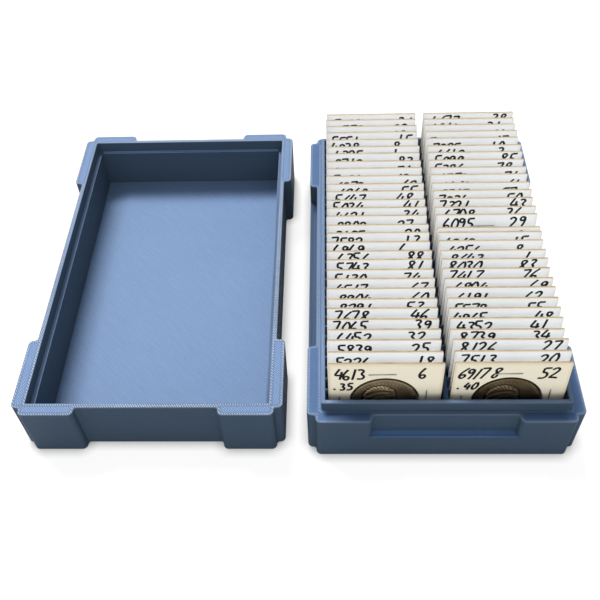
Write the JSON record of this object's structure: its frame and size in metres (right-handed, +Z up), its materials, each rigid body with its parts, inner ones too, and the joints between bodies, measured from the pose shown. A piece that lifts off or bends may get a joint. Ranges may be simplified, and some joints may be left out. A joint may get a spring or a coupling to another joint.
{
  "type": "coin flip box",
  "caption": "Printed storage box for square coin flips: a ribbed tray with rows of stapled flips that hold coins, and a loose lid with recessed sides lying open beside it.",
  "frame": {"origin": "middle of the tray's flat underside", "axes": "+X across the tray to its right, away from the lid; +Y from the front of the tray to its back; +Z up"},
  "size_m": [0.2613, 0.2011, 0.0539],
  "materials": {
    "printed_plastic": "matte",
    "white_card": "matte",
    "cream_card": "matte",
    "clear_film": "gloss",
    "coin_metal": "satin",
    "staple_wire": "satin"
  },
  "bodies": {
    "tray": {"base_tray": "printed_plastic"},
    "lid": {"lid": "printed_plastic"},
    "flip_left_01": {"flip_left_01_holder": "cream_card", "flip_left_01_film": "clear_film", "flip_left_01_coin": "coin_metal", "flip_left_01_staples": "staple_wire"},
    "flip_left_02": {"flip_left_02": "white_card"},
    "flip_left_03": {"flip_left_03": "white_card"},
    "flip_left_04": {"flip_left_04": "white_card"},
    "flip_left_05": {"flip_left_05": "white_card"},
    "flip_left_06": {"flip_left_06": "white_card"},
    "flip_left_07": {"flip_left_07": "white_card"},
    "flip_left_08": {"flip_left_08": "white_card"},
    "flip_left_09": {"flip_left_09": "white_card"},
    "flip_left_10": {"flip_left_10": "white_card"},
    "flip_left_11": {"flip_left_11": "white_card"},
    "flip_left_12": {"flip_left_12": "white_card"},
    "flip_left_13": {"flip_left_13": "white_card"},
    "flip_left_14": {"flip_left_14": "white_card"},
    "flip_left_15": {"flip_left_15": "white_card"},
    "flip_left_16": {"flip_left_16": "white_card"},
    "flip_left_17": {"flip_left_17": "white_card"},
    "flip_left_18": {"flip_left_18": "white_card"},
    "flip_left_19": {"flip_left_19": "white_card"},
    "flip_left_20": {"flip_left_20": "white_card"},
    "flip_left_21": {"flip_left_21": "white_card"},
    "flip_left_22": {"flip_left_22": "white_card"},
    "flip_left_23": {"flip_left_23": "white_card"},
    "flip_left_24": {"flip_left_24": "white_card"},
    "flip_left_25": {"flip_left_25": "white_card"},
    "flips_left_26_to_30": {"flips_left_26_to_30": "white_card"},
    "flip_right_01": {"flip_right_01_holder": "cream_card", "flip_right_01_film": "clear_film", "flip_right_01_coin": "coin_metal", "flip_right_01_staples": "staple_wire"},
    "flip_right_02": {"flip_right_02": "white_card"},
    "flip_right_03": {"flip_right_03": "white_card"},
    "flip_right_04": {"flip_right_04": "white_card"},
    "flip_right_05": {"flip_right_05": "white_card"},
    "flip_right_06": {"flip_right_06": "white_card"},
    "flip_right_07": {"flip_right_07": "white_card"},
    "flip_right_08": {"flip_right_08": "white_card"},
    "flip_right_09": {"flip_right_09": "white_card"},
    "flip_right_10": {"flip_right_10": "white_card"},
    "flip_right_11": {"flip_right_11": "white_card"},
    "flip_right_12": {"flip_right_12": "white_card"},
    "flip_right_13": {"flip_right_13": "white_card"},
    "flip_right_14": {"flip_right_14": "white_card"},
    "flip_right_15": {"flip_right_15": "white_card"},
    "flip_right_16": {"flip_right_16": "white_card"},
    "flip_right_17": {"flip_right_17": "white_card"},
    "flip_right_18": {"flip_right_18": "white_card"},
    "flip_right_19": {"flip_right_19": "white_card"},
    "flip_right_20": {"flip_right_20": "white_card"},
    "flip_right_21": {"flip_right_21": "white_card"},
    "flip_right_22": {"flip_right_22": "white_card"},
    "flip_right_23": {"flip_right_23": "white_card"},
    "flip_right_24": {"flip_right_24": "white_card"},
    "flip_right_25": {"flip_right_25": "white_card"},
    "flips_right_26_to_30": {"flips_right_26_to_30": "white_card"}
  },
  "joints": [
    {"name": "lid_lift", "type": "slide", "parent": "tray", "child": "lid", "axis": [0, 0, 1], "range_m": [0, 0.06]},
    {"name": "flip_left_01_lift", "type": "slide", "parent": "tray", "child": "flip_left_01", "axis": [0, 0.1145, 0.9934], "range_m": [0, 0.055]},
    {"name": "flip_right_01_lift", "type": "slide", "parent": "tray", "child": "flip_right_01", "axis": [0, 0.1145, 0.9934], "range_m": [0, 0.055]},
    {"name": "flip_right_15_lift", "type": "slide", "parent": "tray", "child": "flip_right_15", "axis": [0, 0.1145, 0.9934], "range_m": [0, 0.055]},
    {"name": "flips_left_26_to_30_lift", "type": "slide", "parent": "tray", "child": "flips_left_26_to_30", "axis": [0, 0.1145, 0.9934], "range_m": [0, 0.055]},
    {"name": "flips_right_26_to_30_lift", "type": "slide", "parent": "tray", "child": "flips_right_26_to_30", "axis": [0, 0.1145, 0.9934], "range_m": [0, 0.055]},
    {"name": "flip_left_02_lift", "type": "slide", "parent": "tray", "child": "flip_left_02", "axis": [0, 0.1145, 0.9934], "range_m": [0, 0.055]},
    {"name": "flip_left_03_lift", "type": "slide", "parent": "tray", "child": "flip_left_03", "axis": [0, 0.1145, 0.9934], "range_m": [0, 0.055]},
    {"name": "flip_left_04_lift", "type": "slide", "parent": "tray", "child": "flip_left_04", "axis": [0, 0.1145, 0.9934], "range_m": [0, 0.055]},
    {"name": "flip_left_05_lift", "type": "slide", "parent": "tray", "child": "flip_left_05", "axis": [0, 0.1145, 0.9934], "range_m": [0, 0.055]},
    {"name": "flip_left_06_lift", "type": "slide", "parent": "tray", "child": "flip_left_06", "axis": [0, 0.1145, 0.9934], "range_m": [0, 0.055]},
    {"name": "flip_left_07_lift", "type": "slide", "parent": "tray", "child": "flip_left_07", "axis": [0, 0.1145, 0.9934], "range_m": [0, 0.055]},
    {"name": "flip_left_08_lift", "type": "slide", "parent": "tray", "child": "flip_left_08", "axis": [0, 0.1145, 0.9934], "range_m": [0, 0.055]},
    {"name": "flip_left_09_lift", "type": "slide", "parent": "tray", "child": "flip_left_09", "axis": [0, 0.1145, 0.9934], "range_m": [0, 0.055]},
    {"name": "flip_left_10_lift", "type": "slide", "parent": "tray", "child": "flip_left_10", "axis": [0, 0.1145, 0.9934], "range_m": [0, 0.055]},
    {"name": "flip_left_11_lift", "type": "slide", "parent": "tray", "child": "flip_left_11", "axis": [0, 0.1145, 0.9934], "range_m": [0, 0.055]},
    {"name": "flip_left_12_lift", "type": "slide", "parent": "tray", "child": "flip_left_12", "axis": [0, 0.1145, 0.9934], "range_m": [0, 0.055]},
    {"name": "flip_left_13_lift", "type": "slide", "parent": "tray", "child": "flip_left_13", "axis": [0, 0.1145, 0.9934], "range_m": [0, 0.055]},
    {"name": "flip_left_14_lift", "type": "slide", "parent": "tray", "child": "flip_left_14", "axis": [0, 0.1145, 0.9934], "range_m": [0, 0.055]},
    {"name": "flip_left_15_lift", "type": "slide", "parent": "tray", "child": "flip_left_15", "axis": [0, 0.1145, 0.9934], "range_m": [0, 0.055]},
    {"name": "flip_left_16_lift", "type": "slide", "parent": "tray", "child": "flip_left_16", "axis": [0, 0.1145, 0.9934], "range_m": [0, 0.055]},
    {"name": "flip_left_17_lift", "type": "slide", "parent": "tray", "child": "flip_left_17", "axis": [0, 0.1145, 0.9934], "range_m": [0, 0.055]},
    {"name": "flip_left_18_lift", "type": "slide", "parent": "tray", "child": "flip_left_18", "axis": [0, 0.1145, 0.9934], "range_m": [0, 0.055]},
    {"name": "flip_left_19_lift", "type": "slide", "parent": "tray", "child": "flip_left_19", "axis": [0, 0.1145, 0.9934], "range_m": [0, 0.055]},
    {"name": "flip_left_20_lift", "type": "slide", "parent": "tray", "child": "flip_left_20", "axis": [0, 0.1145, 0.9934], "range_m": [0, 0.055]},
    {"name": "flip_left_21_lift", "type": "slide", "parent": "tray", "child": "flip_left_21", "axis": [0, 0.1145, 0.9934], "range_m": [0, 0.055]},
    {"name": "flip_left_22_lift", "type": "slide", "parent": "tray", "child": "flip_left_22", "axis": [0, 0.1145, 0.9934], "range_m": [0, 0.055]},
    {"name": "flip_left_23_lift", "type": "slide", "parent": "tray", "child": "flip_left_23", "axis": [0, 0.1145, 0.9934], "range_m": [0, 0.055]},
    {"name": "flip_left_24_lift", "type": "slide", "parent": "tray", "child": "flip_left_24", "axis": [0, 0.1145, 0.9934], "range_m": [0, 0.055]},
    {"name": "flip_left_25_lift", "type": "slide", "parent": "tray", "child": "flip_left_25", "axis": [0, 0.1145, 0.9934], "range_m": [0, 0.055]},
    {"name": "flip_right_02_lift", "type": "slide", "parent": "tray", "child": "flip_right_02", "axis": [0, 0.1145, 0.9934], "range_m": [0, 0.055]},
    {"name": "flip_right_03_lift", "type": "slide", "parent": "tray", "child": "flip_right_03", "axis": [0, 0.1145, 0.9934], "range_m": [0, 0.055]},
    {"name": "flip_right_04_lift", "type": "slide", "parent": "tray", "child": "flip_right_04", "axis": [0, 0.1145, 0.9934], "range_m": [0, 0.055]},
    {"name": "flip_right_05_lift", "type": "slide", "parent": "tray", "child": "flip_right_05", "axis": [0, 0.1145, 0.9934], "range_m": [0, 0.055]},
    {"name": "flip_right_06_lift", "type": "slide", "parent": "tray", "child": "flip_right_06", "axis": [0, 0.1145, 0.9934], "range_m": [0, 0.055]},
    {"name": "flip_right_07_lift", "type": "slide", "parent": "tray", "child": "flip_right_07", "axis": [0, 0.1145, 0.9934], "range_m": [0, 0.055]},
    {"name": "flip_right_08_lift", "type": "slide", "parent": "tray", "child": "flip_right_08", "axis": [0, 0.1145, 0.9934], "range_m": [0, 0.055]},
    {"name": "flip_right_09_lift", "type": "slide", "parent": "tray", "child": "flip_right_09", "axis": [0, 0.1145, 0.9934], "range_m": [0, 0.055]},
    {"name": "flip_right_10_lift", "type": "slide", "parent": "tray", "child": "flip_right_10", "axis": [0, 0.1145, 0.9934], "range_m": [0, 0.055]},
    {"name": "flip_right_11_lift", "type": "slide", "parent": "tray", "child": "flip_right_11", "axis": [0, 0.1145, 0.9934], "range_m": [0, 0.055]},
    {"name": "flip_right_12_lift", "type": "slide", "parent": "tray", "child": "flip_right_12", "axis": [0, 0.1145, 0.9934], "range_m": [0, 0.055]},
    {"name": "flip_right_13_lift", "type": "slide", "parent": "tray", "child": "flip_right_13", "axis": [0, 0.1145, 0.9934], "range_m": [0, 0.055]},
    {"name": "flip_right_14_lift", "type": "slide", "parent": "tray", "child": "flip_right_14", "axis": [0, 0.1145, 0.9934], "range_m": [0, 0.055]},
    {"name": "flip_right_16_lift", "type": "slide", "parent": "tray", "child": "flip_right_16", "axis": [0, 0.1145, 0.9934], "range_m": [0, 0.055]},
    {"name": "flip_right_17_lift", "type": "slide", "parent": "tray", "child": "flip_right_17", "axis": [0, 0.1145, 0.9934], "range_m": [0, 0.055]},
    {"name": "flip_right_18_lift", "type": "slide", "parent": "tray", "child": "flip_right_18", "axis": [0, 0.1145, 0.9934], "range_m": [0, 0.055]},
    {"name": "flip_right_19_lift", "type": "slide", "parent": "tray", "child": "flip_right_19", "axis": [0, 0.1145, 0.9934], "range_m": [0, 0.055]},
    {"name": "flip_right_20_lift", "type": "slide", "parent": "tray", "child": "flip_right_20", "axis": [0, 0.1145, 0.9934], "range_m": [0, 0.055]},
    {"name": "flip_right_21_lift", "type": "slide", "parent": "tray", "child": "flip_right_21", "axis": [0, 0.1145, 0.9934], "range_m": [0, 0.055]},
    {"name": "flip_right_22_lift", "type": "slide", "parent": "tray", "child": "flip_right_22", "axis": [0, 0.1145, 0.9934], "range_m": [0, 0.055]},
    {"name": "flip_right_23_lift", "type": "slide", "parent": "tray", "child": "flip_right_23", "axis": [0, 0.1145, 0.9934], "range_m": [0, 0.055]},
    {"name": "flip_right_24_lift", "type": "slide", "parent": "tray", "child": "flip_right_24", "axis": [0, 0.1145, 0.9934], "range_m": [0, 0.055]},
    {"name": "flip_right_25_lift", "type": "slide", "parent": "tray", "child": "flip_right_25", "axis": [0, 0.1145, 0.9934], "range_m": [0, 0.055]}
  ]
}
